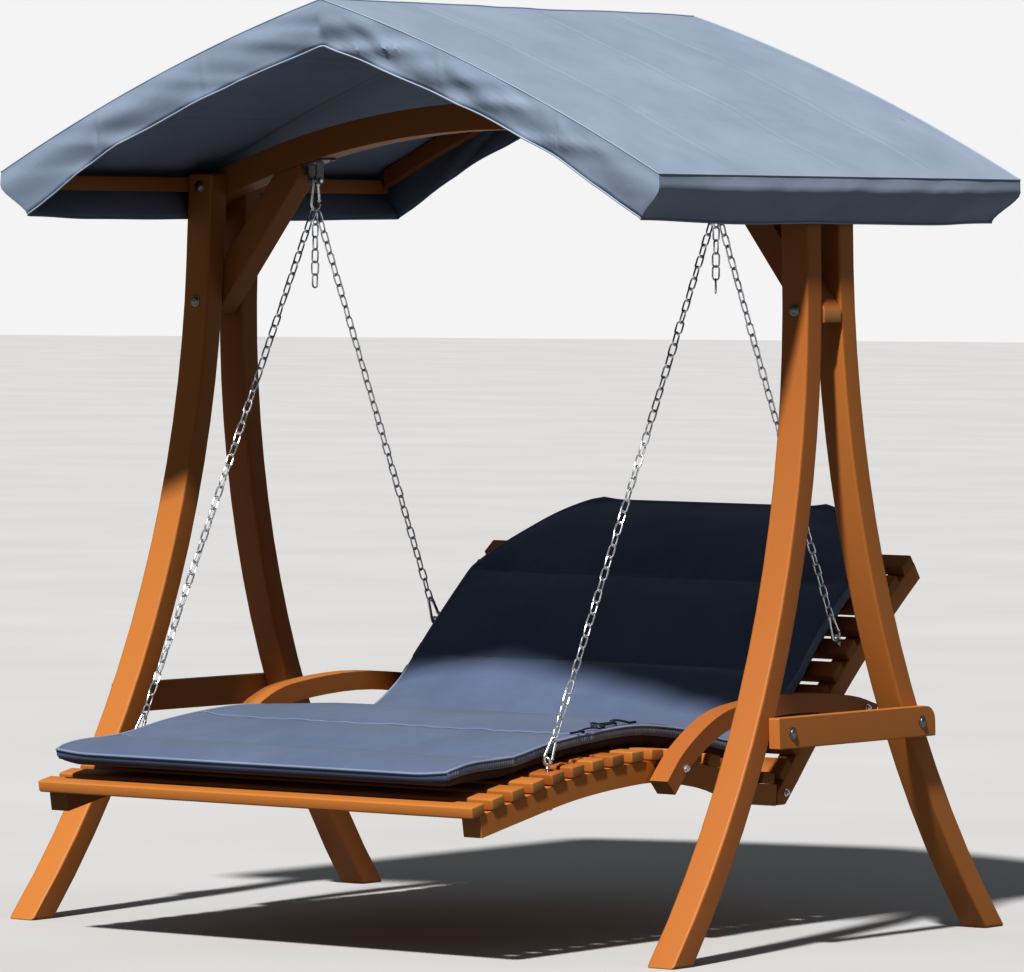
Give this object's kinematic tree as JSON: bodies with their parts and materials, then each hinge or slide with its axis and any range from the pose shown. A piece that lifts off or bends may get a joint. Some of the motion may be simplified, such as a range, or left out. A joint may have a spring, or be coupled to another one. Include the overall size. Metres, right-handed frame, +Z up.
{
  "type": "canopy swing bench",
  "caption": "Free-standing garden swing: curved timber A-frames and arched beam under a cloth canopy, with a slatted lounger and mat hung on chains.",
  "frame": {"origin": "on the ground, under the middle of the whole object", "axes": "+Z up; the lounger's foot end points to -Y; +X to the right seen from the front"},
  "size_m": [1.929, 1.8774, 2.151],
  "materials": {
    "larch": "satin",
    "canopy_cloth": "matte",
    "cushion_cloth": "matte",
    "steel": "satin"
  },
  "bodies": {
    "root": {"leg_front_left": "larch", "leg_front_right": "larch", "leg_rear_left": "larch", "leg_rear_right": "larch", "swing_beam": "larch", "knee_brace_left": "larch", "knee_brace_right": "larch", "side_rail_left": "larch", "side_rail_right": "larch", "eave_rail_left": "larch", "eave_rail_right": "larch", "hanger_bracket_left": "steel", "hanger_bracket_right": "steel", "hanger_pin_left": "steel", "hanger_pin_right": "steel", "gable_arch_front": "larch", "gable_arch_rear": "larch", "ridge_rail": "larch", "king_post": "larch", "canopy_cover": "canopy_cloth"},
    "lounger": {"upper_hook_left": "steel", "upper_hook_right": "steel", "chain_front_left": "steel", "chain_front_right": "steel", "chain_rear_left": "steel", "chain_rear_right": "steel", "lower_hook_front_left": "steel", "lower_hook_front_right": "steel", "lower_hook_rear_left": "steel", "lower_hook_rear_right": "steel", "eye_bolt_front_left": "steel", "eye_bolt_front_right": "steel", "eye_bolt_rear_left": "steel", "eye_bolt_rear_right": "steel", "seat_rail_left": "larch", "seat_rail_right": "larch", "back_rail_left": "larch", "back_rail_right": "larch", "armrest_left": "larch", "armrest_right": "larch", "seat_slat_01": "larch", "seat_slat_02": "larch", "seat_slat_03": "larch", "seat_slat_04": "larch", "seat_slat_05": "larch", "seat_slat_06": "larch", "seat_slat_07": "larch", "seat_slat_08": "larch", "seat_slat_09": "larch", "seat_slat_10": "larch", "seat_slat_11": "larch", "seat_slat_12": "larch", "seat_slat_13": "larch", "seat_slat_14": "larch", "seat_slat_15": "larch", "seat_slat_16": "larch", "back_slats": "larch", "cushion": "cushion_cloth"},
    "tail_left": {"chain_tail_left": "steel"},
    "tail_right": {"chain_tail_right": "steel"}
  },
  "joints": [
    {"name": "lounger_swing", "type": "hinge", "parent": "root", "child": "lounger", "pos_m": [0, 0.0621, 1.746], "axis": [1, 0, 0], "range_deg": [-15, 15]},
    {"name": "tail_left_swing", "type": "hinge", "parent": "lounger", "child": "tail_left", "pos_m": [-0.58, 0.0621, 1.6748], "axis": [1, 0, 0], "range_deg": [-15, 15]},
    {"name": "tail_right_swing", "type": "hinge", "parent": "lounger", "child": "tail_right", "pos_m": [0.58, 0.0621, 1.6748], "axis": [1, 0, 0], "range_deg": [-15, 15]}
  ]
}
